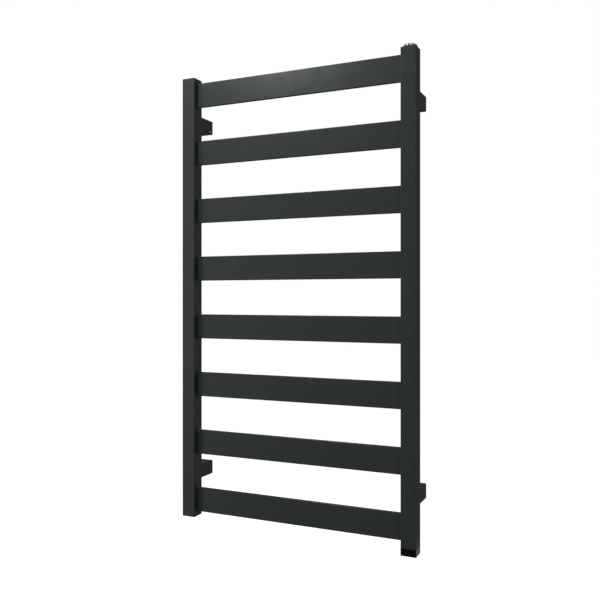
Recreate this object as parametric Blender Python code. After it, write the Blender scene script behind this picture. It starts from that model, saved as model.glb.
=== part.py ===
"""An electric ladder towel warmer for a wall: two square posts, eight flat rails, a vent plug on the right
post's top, a heating element with its control head in the right post's foot, and four wall brackets.

The frame's origin is the centre of the wall plane: X to the right seen from the front, Y into the wall, Z up.
"""

import math

import bmesh
import bpy
from mathutils import Matrix

MM = 0.001
GAP = 0.3 * MM  # between pieces that touch

# The ladder
WIDTH = 611 * MM
HEIGHT = 1112 * MM  # of the posts
POST = 36 * MM  # both sides of the square section
POST_RADIUS = 2 * MM
POST_WALL = 1.5 * MM
RAILS = 8
RAIL_PITCH = 147.2 * MM
RAIL_HEIGHT = 61.5 * MM
RAIL_THICKNESS = 8 * MM
RAIL_RADIUS = 1.5 * MM
RAIL_WALL = 1.2 * MM
RAIL_SETBACK = 20 * MM  # from the posts' front faces to the rails' front faces
RAIL_INSERTION = 3 * MM  # how far a rail reaches into each post
CAP_THICKNESS = 3 * MM
WALL_GAP = 54.5 * MM  # from the posts' back faces to the wall

# The wall brackets
BRACKET_HEIGHT = 446.3 * MM  # above and below the frame's centre
SLEEVE_WIDTH = 34.5 * MM
SLEEVE_HEIGHT = 34.5 * MM
SLEEVE_RADIUS = 1.5 * MM
SLEEVE_WALL = 2 * MM
SLEEVE_END = 3 * MM
SLEEVE_CLEARANCE = 1 * MM  # from the sleeve's rim to the wall
BLOCK_LENGTH = 32 * MM
BLOCK_RADIUS = 1 * MM
WALL_SCREW_HOLE = 3.25 * MM  # radius
WALL_SCREW_RECESS = 6.5 * MM  # radius
WALL_SCREW_RECESS_DEPTH = 9 * MM
STUD_RADIUS = 4 * MM
STUD_LENGTH = 13 * MM
NUT_ACROSS_FLATS = 13 * MM
NUT_THICKNESS = 6.5 * MM
CLAMP_SCREW_RADIUS = 2 * MM
CLAMP_HEAD_RADIUS = 3 * MM
CLAMP_HEAD_HEIGHT = 2.2 * MM
CLAMP_FROM_WALL = 14 * MM
CLAMP_DROP = 13 * MM  # below the centre of an upper sleeve, whose screw is in its inner side

# Threads through the right post's end caps, which are G 1/2
THREAD_RADIUS = 10.4 * MM
THREAD_HOLE = THREAD_RADIUS + GAP

# The vent plug, measured up from the post's top
VENT_SEAL_RADIUS = 13 * MM
VENT_SEAL_TOP = 1.3 * MM
VENT_BODY_BOTTOM = -9 * MM
VENT_RADIUS = 15.2 * MM
VENT_SHOULDER = 5.2 * MM  # where the dome starts
VENT_CROWN_RADIUS = 10.4 * MM  # where the dome ends in a flat crown
VENT_TOP = 7.5 * MM
NOZZLE_RADIUS = 6 * MM
NOZZLE_BOTTOM = 5.2 * MM
NOZZLE_TOP = 8 * MM
NOZZLE_GROOVE_WIDTH = 1.5 * MM
NOZZLE_GROOVE_DEPTH = 1 * MM
NOZZLE_DIRECTION = math.radians(250)  # where the groove leads at rest, from +X towards +Y
BLEED_HEAD_RADIUS = 3 * MM
BLEED_SHANK_RADIUS = 2.2 * MM
BLEED_HEAD_BOTTOM = 3.4 * MM
BLEED_TOP = 7.8 * MM
BLEED_TIP = -5.6 * MM
BLEED_SLOT_WIDTH = 1 * MM
BLEED_SLOT_DEPTH = 1.3 * MM

# The heating element, measured up from the post's bottom
BUSH_TOP = 12 * MM
BUSH_FLANGE_TOP = -2.3 * MM
BUSH_FLANGE_BOTTOM = -4.8 * MM
BUSH_FLANGE_RADIUS = 13.5 * MM
GASKET_RADIUS = 12.5 * MM
GASKET_BOTTOM = -2 * MM
ROD_RADIUS = 4 * MM
ROD_HALF_SPREAD = 6 * MM
ROD_LENGTH = 520 * MM
SENSOR_RADIUS = 2.5 * MM
SENSOR_SETBACK = 7 * MM
SENSOR_LENGTH = 180 * MM
TERMINAL_RADIUS = 0.8 * MM

# The control head under the right post, measured down from the post's bottom
HEAD_TOP = 0.4 * MM
HEAD_BOTTOM = 17 * MM
HEAD_WALL = 2 * MM
HEAD_TOP_WALL = 1.6 * MM
HEAD_BOSS = 5.5 * MM
COVER_THICKNESS = 2 * MM
BOARD_TOP = 7 * MM
BOARD_THICKNESS = 1.6 * MM
BOARD_SIZE = 27 * MM
BOARD_NOTCH_WIDTH = 10 * MM
BOARD_NOTCH_DEPTH = 5 * MM
RELAY_SIZE = (5.4 * MM, 10 * MM, 4 * MM)
RELAY_PLACE = (-9.6 * MM, -1 * MM)
LED_RADIUS = 1.5 * MM
LED_HEIGHT = 3.7 * MM
SWITCH_SIZE = 6 * MM
SWITCH_HEIGHT = 3 * MM
SWITCH_WELL_DEPTH = 2.4 * MM
BUTTON_RADIUS = 4.7 * MM
BUTTON_FLANGE_RADIUS = 5.5 * MM
BUTTON_FLANGE_THICKNESS = 0.6 * MM
BUTTON_STANDS_OUT = 0.5 * MM
BUTTON_STEM_RADIUS = 1.6 * MM
BUTTON_STEM_TOP = 10.9 * MM
LENS_RADIUS = 1.5 * MM
LENS_FORWARD = 10 * MM  # from the head's centre towards the front
PILLAR_RADIUS = 1.5 * MM
PILLAR_OFFSET = 11 * MM
COVER_SCREW_OFFSET = 12.6 * MM
COVER_SCREW_RADIUS = 1.25 * MM
COVER_SCREW_HEAD_RADIUS = 2.2 * MM
COVER_SCREW_HEAD_HEIGHT = 1.2 * MM
COVER_SCREW_LENGTH = 8 * MM
GLAND_DROP = 8.5 * MM
GLAND_BORE = 3.3 * MM
GLAND_REACH = 14.5 * MM

# Where things are
POST_X = WIDTH / 2 - POST / 2
POST_Y = -WALL_GAP - POST / 2
POST_BACK_Y = -WALL_GAP
RAIL_Y = -WALL_GAP - POST + RAIL_SETBACK + RAIL_THICKNESS / 2
TOP_Z = HEIGHT / 2
BOTTOM_Z = -HEIGHT / 2

SIDES = 24  # facets of a large round piece
SMALL_SIDES = 16
TINY_SIDES = 10


def clear_scene():
    for obj in list(bpy.data.objects):
        bpy.data.objects.remove(obj)


def material(name, colour, roughness, metallic=0.0):
    made = bpy.data.materials.new(name)
    made.use_nodes = True
    made.diffuse_color = (*colour, 1)
    shader = made.node_tree.nodes["Principled BSDF"]
    shader.inputs["Base Color"].default_value = (*colour, 1)
    shader.inputs["Roughness"].default_value = roughness
    shader.inputs["Metallic"].default_value = metallic
    return made


# Outlines are lists of (u, v) points, counter-clockwise.


def rounded_rectangle(width, height, radius, segments=2):
    points = []
    for corner in range(4):
        sign_u = (1, -1, -1, 1)[corner]
        sign_v = (1, 1, -1, -1)[corner]
        centre_u = sign_u * (width / 2 - radius)
        centre_v = sign_v * (height / 2 - radius)
        for step in range(segments + 1):
            angle = math.pi / 2 * (corner + step / segments)
            points.append((centre_u + radius * math.cos(angle), centre_v + radius * math.sin(angle)))
    return points


def circle(radius, sides=SIDES, centre=(0, 0)):
    turns = [2 * math.pi * i / sides for i in range(sides)]
    return [(centre[0] + radius * math.cos(t), centre[1] + radius * math.sin(t)) for t in turns]


def hexagon(across_flats):
    return circle(across_flats / math.sqrt(3), 6)


def notched_square(size, notch):
    """A square whose corners at +u +v and -u -v are cut out square."""
    h, n = size / 2, size / 2 - notch
    return [(-n, -h), (h, -h), (h, n), (n, n), (n, h), (-h, h), (-h, -n), (-n, -n)]


# Shapes are bmeshes. Each stands on its own local origin.


def extruded(outline, bottom, top, holes=()):
    """The outline, less its holes, drawn up from bottom to top along Z."""
    bm = bmesh.new()
    edges = []
    for loop in (outline, *holes):
        verts = [bm.verts.new((u, v, bottom)) for u, v in loop]
        edges += [bm.edges.new((verts[i - 1], verts[i])) for i in range(len(verts))]
    if holes:
        faces = [g for g in bmesh.ops.triangle_fill(bm, use_beauty=True, edges=edges)["geom"]
                 if isinstance(g, bmesh.types.BMFace)]
    else:
        faces = bmesh.ops.contextual_create(bm, geom=edges)["faces"]
    drawn = bmesh.ops.extrude_face_region(bm, geom=faces)["geom"]
    verts = [g for g in drawn if isinstance(g, bmesh.types.BMVert)]
    bmesh.ops.translate(bm, vec=(0, 0, top - bottom), verts=verts)
    bmesh.ops.recalc_face_normals(bm, faces=bm.faces)
    return bm


def turned(profile, sides=SIDES, closed=False):
    """The (radius, z) profile spun round Z. A closed profile makes a ring, an open one starts and ends on Z."""
    bm = bmesh.new()
    verts = [bm.verts.new((r, 0, z)) for r, z in profile]
    first = 0 if closed else 1
    edges = [bm.edges.new((verts[i - 1], verts[i])) for i in range(first, len(verts))]
    bmesh.ops.spin(bm, geom=verts + edges, cent=(0, 0, 0), axis=(0, 0, 1), angle=2 * math.pi, steps=sides)
    bmesh.ops.remove_doubles(bm, verts=bm.verts, dist=0.001 * MM)
    bmesh.ops.recalc_face_normals(bm, faces=bm.faces)
    return bm


def drum(radius, bottom, top, sides=SIDES, centre=(0, 0)):
    return extruded(circle(radius, sides, centre), bottom, top)


def placed(bm, matrix):
    bmesh.ops.transform(bm, matrix=matrix, verts=bm.verts)
    return bm


def lying_along_y(bm):
    """Turns a shape that stands along Z so that its +Z end points to +Y, into the wall."""
    return placed(bm, Matrix.Rotation(math.radians(-90), 4, "X"))


def lying_along_x(bm):
    """Turns a shape that stands along Z so that its +Z end points to +X and its u side stays level."""
    return placed(bm, Matrix.Rotation(math.radians(90), 4, "Z") @ Matrix.Rotation(math.radians(90), 4, "X"))


def to_mesh(name, bm):
    mesh = bpy.data.meshes.new(name)
    bm.to_mesh(mesh)
    bm.free()
    return mesh


def add_object(name, mesh, look, location=(0, 0, 0)):
    """A sub-part in the scene. Its mesh may be a bmesh or a mesh that others share."""
    if isinstance(mesh, bmesh.types.BMesh):
        mesh = to_mesh(name, mesh)
    if not mesh.materials:
        mesh.materials.append(look)
    mesh.shade_smooth()
    mesh.set_sharp_from_angle(angle=math.radians(30))
    obj = bpy.data.objects.new(name, mesh)
    obj.location = location
    bpy.context.scene.collection.objects.link(obj)
    return obj


def carved(name, body, cutters=(), additions=()):
    """The body joined with the additions, then cut by the cutters, as one mesh."""
    target = bpy.data.objects.new(name, to_mesh(name, body))
    bpy.context.scene.collection.objects.link(target)
    tools = []
    steps = [("UNION", shape) for shape in additions] + [("DIFFERENCE", shape) for shape in cutters]
    for operation, shape in steps:
        tool = bpy.data.objects.new("tool", to_mesh("tool", shape))
        bpy.context.scene.collection.objects.link(tool)
        modifier = target.modifiers.new(operation, "BOOLEAN")
        modifier.operation = operation
        modifier.object = tool
        tools.append(tool)
    bpy.context.view_layer.update()
    evaluated = target.evaluated_get(bpy.context.evaluated_depsgraph_get())
    mesh = bpy.data.meshes.new_from_object(evaluated)
    for obj in (target, *tools):
        bpy.data.objects.remove(obj)
    return mesh


def swept_tube(name, points, radius, look, location):
    """A round bar along the points, with flat ends."""
    curve = bpy.data.curves.new(name, "CURVE")
    curve.dimensions = "3D"
    curve.bevel_depth = radius
    curve.bevel_resolution = 2
    curve.use_fill_caps = True
    spline = curve.splines.new("POLY")
    spline.points.add(len(points) - 1)
    for point, place in zip(spline.points, points):
        point.co = (*place, 1)
    curve.materials.append(look)
    obj = bpy.data.objects.new(name, curve)
    obj.location = location
    bpy.context.scene.collection.objects.link(obj)
    return obj


# The ladder


def rail_heights():
    """The rails' centres, from the top one down."""
    return [((RAILS - 1) / 2 - i) * RAIL_PITCH for i in range(RAILS)]


def post_mesh(inner_side):
    """A hollow post with a slot for each rail in the wall that faces +X (inner_side 1) or -X (-1)."""
    inside = POST - 2 * POST_WALL
    outline = rounded_rectangle(POST, POST, POST_RADIUS, 3)
    hollow = rounded_rectangle(inside, inside, POST_RADIUS - POST_WALL, 1)
    slots = []
    for z in rail_heights():
        slot = rounded_rectangle(RAIL_THICKNESS + 2 * GAP, RAIL_HEIGHT + 2 * GAP, RAIL_RADIUS + GAP)
        shape = lying_along_x(extruded(slot, -POST_WALL, POST_WALL))
        reach = inner_side * (POST - POST_WALL) / 2
        slots.append(placed(shape, Matrix.Translation((reach, RAIL_Y - POST_Y, z))))
    return carved("post", extruded(outline, BOTTOM_Z, TOP_Z, [hollow]), slots)


def build_posts(paint):
    add_object("left_post", post_mesh(1), paint, (-POST_X, POST_Y, 0))
    add_object("right_post", post_mesh(-1), paint, (POST_X, POST_Y, 0))


def build_rails(paint):
    outline = rounded_rectangle(RAIL_THICKNESS, RAIL_HEIGHT, RAIL_RADIUS)
    hollow = rounded_rectangle(RAIL_THICKNESS - 2 * RAIL_WALL, RAIL_HEIGHT - 2 * RAIL_WALL,
                               RAIL_RADIUS - RAIL_WALL)
    half = WIDTH / 2 - POST + RAIL_INSERTION
    mesh = to_mesh("rail", lying_along_x(extruded(outline, -half, half, [hollow])))
    for number, z in enumerate(rail_heights(), 1):
        add_object(f"rail_{number}", mesh, paint, (0, RAIL_Y, z))


def build_caps(paint):
    """The plates that close the posts' ends. The right post's two have the threaded holes."""
    size = POST - 2 * POST_WALL - 2 * GAP
    outline = rounded_rectangle(size, size, POST_RADIUS - POST_WALL, 1)
    plain = to_mesh("cap", extruded(outline, 0, CAP_THICKNESS))
    drilled = to_mesh("drilled_cap", extruded(outline, 0, CAP_THICKNESS, [circle(THREAD_HOLE)]))
    for side, mesh, x in (("left", plain, -POST_X), ("right", drilled, POST_X)):
        add_object(f"{side}_top_cap", mesh, paint, (x, POST_Y, TOP_Z - CAP_THICKNESS))
        add_object(f"{side}_bottom_cap", mesh, paint, (x, POST_Y, BOTTOM_Z))


# The vent plug


def build_vent(chrome, rubber, white_plastic, brass):
    """A domed plug whose crown holds a nozzle that turns to aim the air, round the screw that lets it out."""
    foot = (POST_X, POST_Y, TOP_Z)
    add_object("vent_seal", extruded(circle(VENT_SEAL_RADIUS), GAP, VENT_SEAL_TOP, [circle(THREAD_HOLE)]),
               rubber, foot)
    head_bore = BLEED_HEAD_RADIUS + GAP
    shank_bore = BLEED_SHANK_RADIUS + GAP
    air_hole = 1 * MM
    dome_steps = 4
    body = [
        (THREAD_RADIUS, VENT_BODY_BOTTOM),
        (THREAD_RADIUS, VENT_SEAL_TOP + GAP),
        (VENT_RADIUS, VENT_SEAL_TOP + GAP),
    ]
    for i in range(dome_steps + 1):
        angle = math.pi / 2 * i / dome_steps
        body.append((VENT_CROWN_RADIUS + (VENT_RADIUS - VENT_CROWN_RADIUS) * math.cos(angle),
                     VENT_SHOULDER + (VENT_TOP - VENT_SHOULDER) * math.sin(angle)))
    body += [
        (NOZZLE_RADIUS + GAP, VENT_TOP),
        (NOZZLE_RADIUS + GAP, NOZZLE_BOTTOM - GAP),
        (head_bore, NOZZLE_BOTTOM - GAP),
        (head_bore, BLEED_HEAD_BOTTOM - GAP),
        (shank_bore, BLEED_HEAD_BOTTOM - GAP),
        (shank_bore, BLEED_TIP - GAP),
        (air_hole, BLEED_TIP - GAP),
        (air_hole, VENT_BODY_BOTTOM),
    ]
    add_object("vent_body", turned(body, closed=True), chrome, foot)

    ring = extruded(circle(NOZZLE_RADIUS), NOZZLE_BOTTOM, NOZZLE_TOP, [circle(head_bore, SMALL_SIDES)])
    groove = extruded(rounded_rectangle(NOZZLE_RADIUS, NOZZLE_GROOVE_WIDTH, 0.1 * MM, 1),
                      NOZZLE_TOP - NOZZLE_GROOVE_DEPTH, NOZZLE_TOP + NOZZLE_GROOVE_DEPTH)
    groove = placed(groove, Matrix.Rotation(NOZZLE_DIRECTION, 4, "Z") @ Matrix.Translation((NOZZLE_RADIUS, 0, 0)))
    add_object("vent_nozzle", carved("vent_nozzle", ring, [groove]), white_plastic, foot)

    needle = 1.3 * MM
    screw = turned([
        (0, BLEED_TIP),
        (BLEED_SHANK_RADIUS, BLEED_TIP + needle),
        (BLEED_SHANK_RADIUS, BLEED_HEAD_BOTTOM),
        (BLEED_HEAD_RADIUS, BLEED_HEAD_BOTTOM),
        (BLEED_HEAD_RADIUS, BLEED_TOP),
        (0, BLEED_TOP),
    ], SMALL_SIDES)
    slot = rounded_rectangle(3 * BLEED_HEAD_RADIUS, BLEED_SLOT_WIDTH, 0.1 * MM, 1)
    slot = extruded(slot, BLEED_TOP - BLEED_SLOT_DEPTH, BLEED_TOP + BLEED_SLOT_DEPTH)
    add_object("vent_screw", carved("vent_screw", screw, [slot]), brass, foot)


# The heating element


def build_element(brass, rubber, stainless):
    foot = (POST_X, POST_Y, BOTTOM_Z)
    bush = turned([
        (0, BUSH_FLANGE_BOTTOM),
        (BUSH_FLANGE_RADIUS, BUSH_FLANGE_BOTTOM),
        (BUSH_FLANGE_RADIUS, BUSH_FLANGE_TOP),
        (THREAD_RADIUS, BUSH_FLANGE_TOP),
        (THREAD_RADIUS, BUSH_TOP),
        (0, BUSH_TOP),
    ])
    add_object("heater_bush", bush, brass, foot)
    add_object("heater_gasket", extruded(circle(GASKET_RADIUS), GASKET_BOTTOM, -GAP, [circle(THREAD_HOLE)]),
               rubber, foot)

    bend_steps = 8
    bend_z = ROD_LENGTH - ROD_HALF_SPREAD - ROD_RADIUS
    hairpin = [(ROD_HALF_SPREAD, 0, BUSH_TOP + GAP)]
    for i in range(bend_steps + 1):
        angle = math.pi * i / bend_steps
        hairpin.append((ROD_HALF_SPREAD * math.cos(angle), 0, bend_z + ROD_HALF_SPREAD * math.sin(angle)))
    hairpin.append((-ROD_HALF_SPREAD, 0, BUSH_TOP + GAP))
    swept_tube("heater_rod", hairpin, ROD_RADIUS, stainless, foot)

    tip = 1 * MM
    sensor = turned([
        (0, BUSH_TOP + GAP),
        (SENSOR_RADIUS, BUSH_TOP + GAP),
        (SENSOR_RADIUS, SENSOR_LENGTH - tip),
        (SENSOR_RADIUS - tip, SENSOR_LENGTH),
        (0, SENSOR_LENGTH),
    ], TINY_SIDES)
    add_object("heater_sensor_tube", sensor, stainless, (POST_X, POST_Y + SENSOR_SETBACK, BOTTOM_Z))

    pin = to_mesh("pin", drum(TERMINAL_RADIUS, -BOARD_TOP + GAP, BUSH_FLANGE_BOTTOM - GAP, TINY_SIDES))
    for number, (x, y) in enumerate([(-ROD_HALF_SPREAD, 0), (ROD_HALF_SPREAD, 0), (0, SENSOR_SETBACK)], 1):
        add_object(f"heater_terminal_{number}", pin, brass, (POST_X + x, POST_Y + y, BOTTOM_Z))


# The control head


def boss_places():
    return [(COVER_SCREW_OFFSET, COVER_SCREW_OFFSET), (-COVER_SCREW_OFFSET, -COVER_SCREW_OFFSET)]


def build_head_shell(black_plastic, foot):
    """A square cup, open below. Its top is clamped under the post by the heater bush's flange."""
    inside = POST - 2 * HEAD_WALL
    cover_top = HEAD_BOTTOM - COVER_THICKNESS - GAP
    screw_hole = COVER_SCREW_RADIUS + GAP
    gland_hole = lying_along_y(drum(GLAND_BORE + 1.2 * MM, 0, POST))
    cutters = [
        extruded(notched_square(inside, HEAD_BOSS), -cover_top, -HEAD_TOP - HEAD_TOP_WALL),
        extruded(rounded_rectangle(inside, inside, 0.5 * MM, 1), -HEAD_BOTTOM - MM, -cover_top),
        drum(GASKET_RADIUS + GAP, -HEAD_TOP - 2 * HEAD_TOP_WALL, MM),
        placed(gland_hole, Matrix.Translation((0, 0, -GLAND_DROP))),
    ]
    depth = cover_top - COVER_SCREW_LENGTH
    cutters += [drum(screw_hole, -HEAD_BOTTOM, -depth, TINY_SIDES, place) for place in boss_places()]
    body = extruded(rounded_rectangle(POST, POST, POST_RADIUS, 3), -HEAD_BOTTOM, -HEAD_TOP)
    add_object("head_shell", carved("head_shell", body, cutters), black_plastic, foot)


def build_head_cover(black_plastic, foot):
    """The plate that closes the head from below, with pillars that carry the circuit board."""
    size = POST - 2 * HEAD_WALL - 2 * GAP
    top = HEAD_BOTTOM - COVER_THICKNESS
    pillars = [
        drum(PILLAR_RADIUS, -top - MM, -BOARD_TOP - BOARD_THICKNESS - GAP, TINY_SIDES, (side, -side))
        for side in (PILLAR_OFFSET, -PILLAR_OFFSET)
    ]
    cutters = [
        drum(BUTTON_RADIUS + GAP, -HEAD_BOTTOM - MM, -top + MM),
        drum(LENS_RADIUS + GAP, -HEAD_BOTTOM - MM, -top + MM, TINY_SIDES, (0, -LENS_FORWARD)),
    ]
    for place in boss_places():
        recess = COVER_SCREW_HEAD_HEIGHT + GAP
        cutters.append(drum(COVER_SCREW_RADIUS + GAP, -HEAD_BOTTOM - MM, -top + MM, TINY_SIDES, place))
        cutters.append(drum(COVER_SCREW_HEAD_RADIUS + GAP, -HEAD_BOTTOM - MM, -HEAD_BOTTOM + recess,
                            SMALL_SIDES, place))
    body = extruded(rounded_rectangle(size, size, 0.5 * MM, 1), -HEAD_BOTTOM, -top)
    add_object("head_cover", carved("head_cover", body, cutters, pillars), black_plastic, foot)


def build_cover_screws(steel, foot):
    shank_top = -(HEAD_BOTTOM - COVER_THICKNESS - COVER_SCREW_LENGTH + MM)
    profile = [
        (0, -HEAD_BOTTOM),
        (COVER_SCREW_HEAD_RADIUS, -HEAD_BOTTOM),
        (COVER_SCREW_HEAD_RADIUS, -HEAD_BOTTOM + COVER_SCREW_HEAD_HEIGHT),
        (COVER_SCREW_RADIUS, -HEAD_BOTTOM + COVER_SCREW_HEAD_HEIGHT),
        (COVER_SCREW_RADIUS, shank_top),
        (0, shank_top),
    ]
    slot = rounded_rectangle(3 * MM, 0.6 * MM, 0.1 * MM, 1)
    slot = extruded(slot, -HEAD_BOTTOM - MM, -HEAD_BOTTOM + 0.6 * MM)
    mesh = carved("cover_screw", turned(profile, SMALL_SIDES), [slot])
    for number, (x, y) in enumerate(boss_places(), 1):
        add_object(f"head_cover_screw_{number}", mesh, steel, (foot[0] + x, foot[1] + y, foot[2]))


def build_controls(black_plastic, board_green, lens_plastic, foot):
    """The circuit board and what it carries, the button that works its switch, and the lens of its light."""
    board_bottom = BOARD_TOP + BOARD_THICKNESS
    board = extruded(notched_square(BOARD_SIZE, HEAD_BOSS - HEAD_WALL + 0.8 * MM), -board_bottom, -BOARD_TOP)
    notch = rounded_rectangle(BOARD_NOTCH_WIDTH, 2 * BOARD_NOTCH_DEPTH, MM)
    notch = placed(extruded(notch, -board_bottom - MM, -BOARD_TOP + MM),
                   Matrix.Translation((0, BOARD_SIZE / 2, 0)))
    add_object("head_circuit_board", carved("head_circuit_board", board, [notch]), board_green, foot)

    width, depth, height = RELAY_SIZE
    relay = extruded(rounded_rectangle(width, depth, 0.4 * MM, 1), -board_bottom - GAP - height, -board_bottom - GAP)
    add_object("head_relay", relay, black_plastic, (foot[0] + RELAY_PLACE[0], foot[1] + RELAY_PLACE[1], foot[2]))
    led_top = -board_bottom - GAP
    led = turned([
        (0, led_top - LED_HEIGHT),
        (LED_RADIUS * 0.7, led_top - LED_HEIGHT + LED_RADIUS * 0.3),
        (LED_RADIUS, led_top - LED_HEIGHT + LED_RADIUS),
        (LED_RADIUS, led_top),
        (0, led_top),
    ], SMALL_SIDES)
    add_object("head_led", led, lens_plastic, (foot[0], foot[1] - LENS_FORWARD, foot[2]))

    switch_top = board_bottom + GAP
    switch_bottom = switch_top + SWITCH_HEIGHT
    case = extruded(rounded_rectangle(SWITCH_SIZE, SWITCH_SIZE, 0.5 * MM, 1), -switch_bottom, -switch_top)
    well = drum(BUTTON_STEM_RADIUS + 2 * GAP, -switch_bottom - MM, -switch_bottom + SWITCH_WELL_DEPTH, SMALL_SIDES)
    add_object("head_switch", carved("head_switch", case, [well]), black_plastic, foot)

    cover_top = HEAD_BOTTOM - COVER_THICKNESS
    flange_bottom = cover_top - GAP
    flange_top = flange_bottom - BUTTON_FLANGE_THICKNESS
    face = HEAD_BOTTOM + BUTTON_STANDS_OUT
    edge = 0.4 * MM
    button = turned([
        (0, -face),
        (BUTTON_RADIUS - edge, -face),
        (BUTTON_RADIUS, -face + edge),
        (BUTTON_RADIUS, -flange_bottom),
        (BUTTON_FLANGE_RADIUS, -flange_bottom),
        (BUTTON_FLANGE_RADIUS, -flange_top),
        (BUTTON_STEM_RADIUS, -flange_top),
        (BUTTON_STEM_RADIUS, -BUTTON_STEM_TOP),
        (0, -BUTTON_STEM_TOP),
    ])
    add_object("head_button", button, black_plastic, foot)

    lens = turned([
        (0, -HEAD_BOTTOM),
        (LENS_RADIUS, -HEAD_BOTTOM),
        (LENS_RADIUS, -cover_top + GAP),
        (LENS_RADIUS + 2 * GAP, -cover_top + GAP),
        (LENS_RADIUS + 2 * GAP, -cover_top + 3 * GAP),
        (0, -cover_top + 3 * GAP),
    ], SMALL_SIDES)
    add_object("head_light_lens", lens, lens_plastic, (foot[0], foot[1] - LENS_FORWARD, foot[2]))


def build_cable_gland(rubber, foot):
    """The outlet for the mains lead, through the head's back wall. Its profile runs along +Y from the wall."""
    wall_in = POST / 2 - HEAD_WALL
    wall_out = POST / 2
    neck = GLAND_BORE + 0.9 * MM
    lip = GLAND_BORE + 1.9 * MM
    collar = GLAND_BORE + 2.5 * MM
    lip_thickness = 0.9 * MM
    collar_thickness = 1.5 * MM
    tail = wall_out + GAP + collar_thickness
    profile = [
        (GLAND_BORE, wall_in - GAP - lip_thickness),
        (lip, wall_in - GAP - lip_thickness),
        (lip, wall_in - GAP),
        (neck, wall_in - GAP),
        (neck, wall_out + GAP),
        (collar, wall_out + GAP),
        (collar, tail),
        (collar - 1 * MM, tail),
        (GLAND_BORE + 1.1 * MM, wall_out + GLAND_REACH),
        (GLAND_BORE, wall_out + GLAND_REACH),
    ]
    gland = lying_along_y(turned(profile, closed=True))
    add_object("cable_gland", gland, rubber, (foot[0], foot[1], foot[2] - GLAND_DROP))


# The wall brackets. Each is modelled about its own centre line, which runs along Y.


def clamp_placed(shape, row, side):
    """Moves a shape that is modelled about a clamp screw's own axis to where the screw goes in its sleeve.

    The shape's origin is on the sleeve's face and its +Z points inwards. An upper sleeve has the screw low
    in the side that faces the other post, and a lower sleeve has it underneath.
    """
    if row == "upper":
        turn = -90 if side == "left" else 90
        reach = SLEEVE_WIDTH / 2
        drop = CLAMP_DROP
    else:
        turn = 0
        reach = SLEEVE_HEIGHT / 2
        drop = 0
    moved = Matrix.Translation((0, -CLAMP_FROM_WALL, -drop)) @ Matrix.Rotation(math.radians(turn), 4, "Y")
    return placed(shape, moved @ Matrix.Translation((0, 0, -reach)))


def sleeve_mesh(row, side):
    """A square tube with an end plate at the post, drilled for the stud and for the clamp screw."""
    width = SLEEVE_WIDTH - 2 * SLEEVE_WALL
    height = SLEEVE_HEIGHT - 2 * SLEEVE_WALL
    front = POST_BACK_Y + GAP
    rim = -SLEEVE_CLEARANCE
    clamp_hole = drum(CLAMP_SCREW_RADIUS + GAP, -MM, SLEEVE_WALL + MM, SMALL_SIDES)
    cutters = [
        lying_along_y(extruded(rounded_rectangle(width, height, MM, 1), front + SLEEVE_END, MM)),
        lying_along_y(drum(STUD_RADIUS + GAP, front - MM, front + 2 * SLEEVE_END, SMALL_SIDES)),
        clamp_placed(clamp_hole, row, side),
    ]
    body = extruded(rounded_rectangle(SLEEVE_WIDTH, SLEEVE_HEIGHT, SLEEVE_RADIUS), front, rim)
    return carved("sleeve", lying_along_y(body), cutters)


def clamp_screw_mesh(row, side):
    """A domed screw with a hexagon socket, whose tip comes flush with the inside of the sleeve's wall."""
    screw = turned([
        (0, -CLAMP_HEAD_HEIGHT),
        (CLAMP_HEAD_RADIUS * 0.5, -CLAMP_HEAD_HEIGHT),
        (CLAMP_HEAD_RADIUS * 0.85, -CLAMP_HEAD_HEIGHT * 0.75),
        (CLAMP_HEAD_RADIUS, -CLAMP_HEAD_HEIGHT * 0.4),
        (CLAMP_HEAD_RADIUS, -GAP),
        (CLAMP_SCREW_RADIUS, -GAP),
        (CLAMP_SCREW_RADIUS, SLEEVE_WALL),
        (0, SLEEVE_WALL),
    ], SMALL_SIDES)
    socket = extruded(hexagon(2 * MM), -2 * CLAMP_HEAD_HEIGHT, -CLAMP_HEAD_HEIGHT / 3)
    return carved("clamp_screw", clamp_placed(screw, row, side), [clamp_placed(socket, row, side)])


def wall_block_mesh():
    """The block that is screwed to the wall and fills the sleeve's mouth, with its counterbored screw hole."""
    width = SLEEVE_WIDTH - 2 * SLEEVE_WALL - 2 * GAP
    height = SLEEVE_HEIGHT - 2 * SLEEVE_WALL - 2 * GAP
    cutters = [
        lying_along_y(drum(WALL_SCREW_HOLE, -2 * BLOCK_LENGTH, BLOCK_LENGTH, SMALL_SIDES)),
        lying_along_y(drum(WALL_SCREW_RECESS, -2 * BLOCK_LENGTH, -BLOCK_LENGTH + WALL_SCREW_RECESS_DEPTH)),
    ]
    body = extruded(rounded_rectangle(width, height, BLOCK_RADIUS, 1), -BLOCK_LENGTH, 0)
    return carved("wall_block", lying_along_y(body), cutters)


def build_brackets(paint, steel):
    front = POST_BACK_Y + GAP
    nut_start = front + SLEEVE_END + GAP
    nut = extruded(hexagon(NUT_ACROSS_FLATS), nut_start, nut_start + NUT_THICKNESS,
                   [circle(STUD_RADIUS + GAP, SMALL_SIDES)])
    shared = {
        "stud": to_mesh("stud", lying_along_y(drum(STUD_RADIUS, front, front + STUD_LENGTH, SMALL_SIDES))),
        "nut": to_mesh("nut", lying_along_y(nut)),
        "wall_block": wall_block_mesh(),
    }
    for row, z in (("upper", BRACKET_HEIGHT), ("lower", -BRACKET_HEIGHT)):
        for side, x in (("left", -POST_X), ("right", POST_X)):
            name = f"bracket_{row}_{side}"
            add_object(f"{name}_sleeve", sleeve_mesh(row, side), paint, (x, 0, z))
            add_object(f"{name}_clamp_screw", clamp_screw_mesh(row, side), steel, (x, 0, z))
            for piece, mesh in shared.items():
                add_object(f"{name}_{piece}", mesh, steel, (x, 0, z))


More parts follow.
